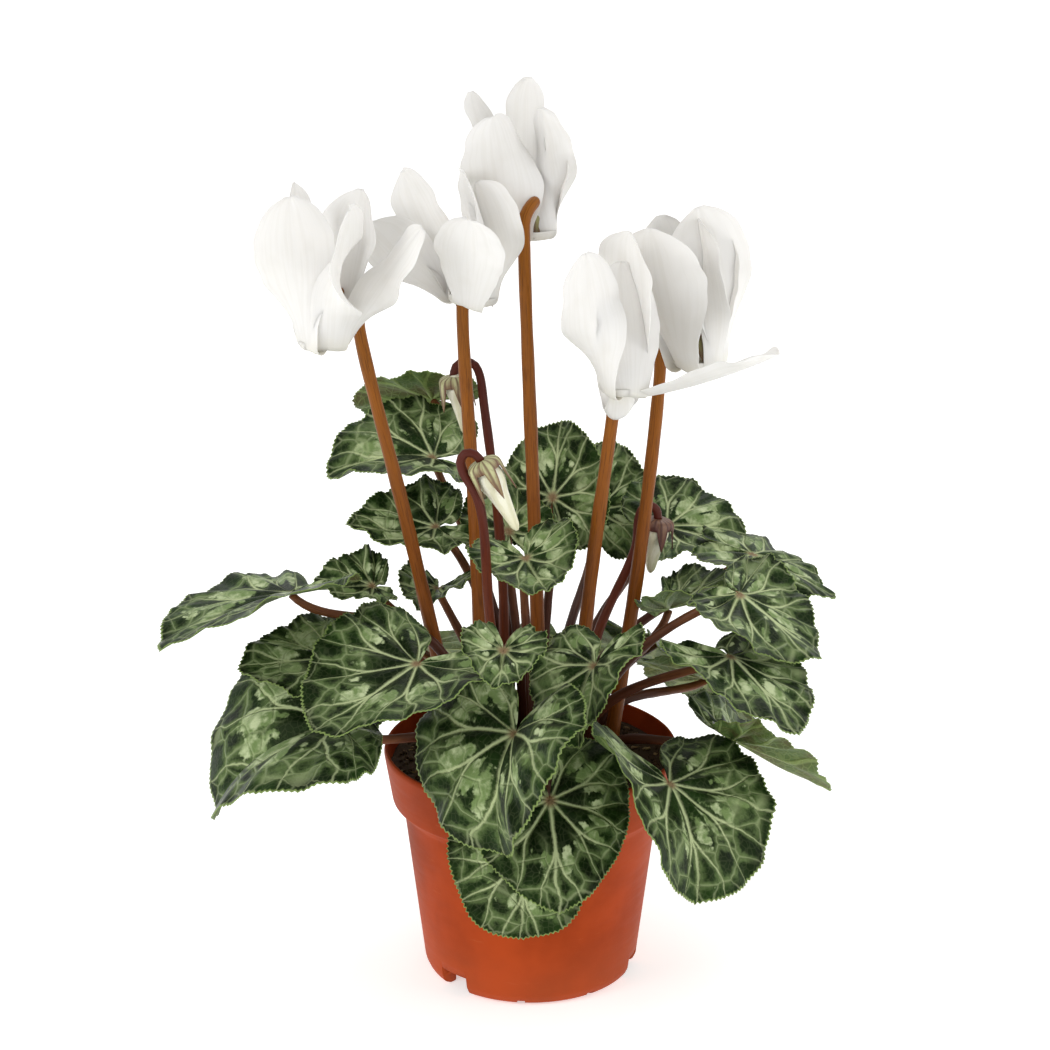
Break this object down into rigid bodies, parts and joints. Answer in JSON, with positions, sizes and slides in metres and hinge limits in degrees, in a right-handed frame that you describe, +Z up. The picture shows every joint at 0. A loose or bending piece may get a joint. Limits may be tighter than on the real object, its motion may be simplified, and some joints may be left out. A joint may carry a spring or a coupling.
{
  "type": "potted cyclamen",
  "caption": "Flowering cyclamen in a small moulded plastic nursery pot: toothed marbled leaves on petioles, open reflexed flowers and nodding buds rising from one corm in soil.",
  "frame": {"origin": "middle of the pot's underside, on the pot's axis, in the plane it stands on", "axes": "+Z up along the pot's axis; -Y towards the side that the flowers and the fullest leaves face; +X to that viewer's right"},
  "size_m": [0.2371, 0.2059, 0.3175],
  "materials": {
    "pot": "matt terracotta-coloured moulded polypropylene",
    "soil": "loose dark peat with bark and wood chips",
    "corm": "dull brown corky skin",
    "leaf": "semi-matt green leaf, silver-green marbling, paler underside",
    "flower_stalk": "orange-brown fleshy stalk, satin",
    "bud_stalk": "purple-brown fleshy stalk, satin",
    "petal": "white petal, soft satin, slightly translucent",
    "bud": "creamy white closed bud, satin"
  },
  "bodies": {
    "root": {"pot": "pot", "soil": "soil", "corm": "corm", "leaf_front_centre": "leaf", "leaf_front_under": "leaf", "leaf_front_low": "leaf", "leaf_right_front": "leaf", "leaf_left_low": "leaf", "leaf_left_front": "leaf", "leaf_left_middle": "leaf", "leaf_centre_small": "leaf", "leaf_centre_dark": "leaf", "leaf_right_mid": "leaf", "leaf_right_low": "leaf", "leaf_right_upper": "leaf", "leaf_right_inner": "leaf", "leaf_right_far": "leaf", "leaf_right_back": "leaf", "leaf_back_right": "leaf", "leaf_back_centre": "leaf", "leaf_back_inner": "leaf", "leaf_centre": "leaf", "leaf_left_inner": "leaf", "leaf_inner_left": "leaf", "leaf_left_far": "leaf", "leaf_left_upper": "leaf", "leaf_left_top": "leaf", "leaf_left_behind": "leaf", "leaf_rear_left": "leaf", "leaf_rear": "leaf", "leaf_rear_right": "leaf", "leaf_rear_low_left": "leaf", "leaf_rear_low_right": "leaf", "flower_left_petals": "petal", "flower_left_stalk": "flower_stalk", "flower_middle_petals": "petal", "flower_middle_stalk": "flower_stalk", "flower_top_petals": "petal", "flower_top_stalk": "flower_stalk", "flower_right_front_petals": "petal", "flower_right_front_stalk": "flower_stalk", "flower_right_petals": "petal", "flower_right_stalk": "flower_stalk", "bud_front": "bud", "bud_front_stalk": "bud_stalk", "bud_back": "bud", "bud_back_stalk": "bud_stalk", "bud_right": "bud", "bud_right_stalk": "bud_stalk"}
  },
  "joints": []
}
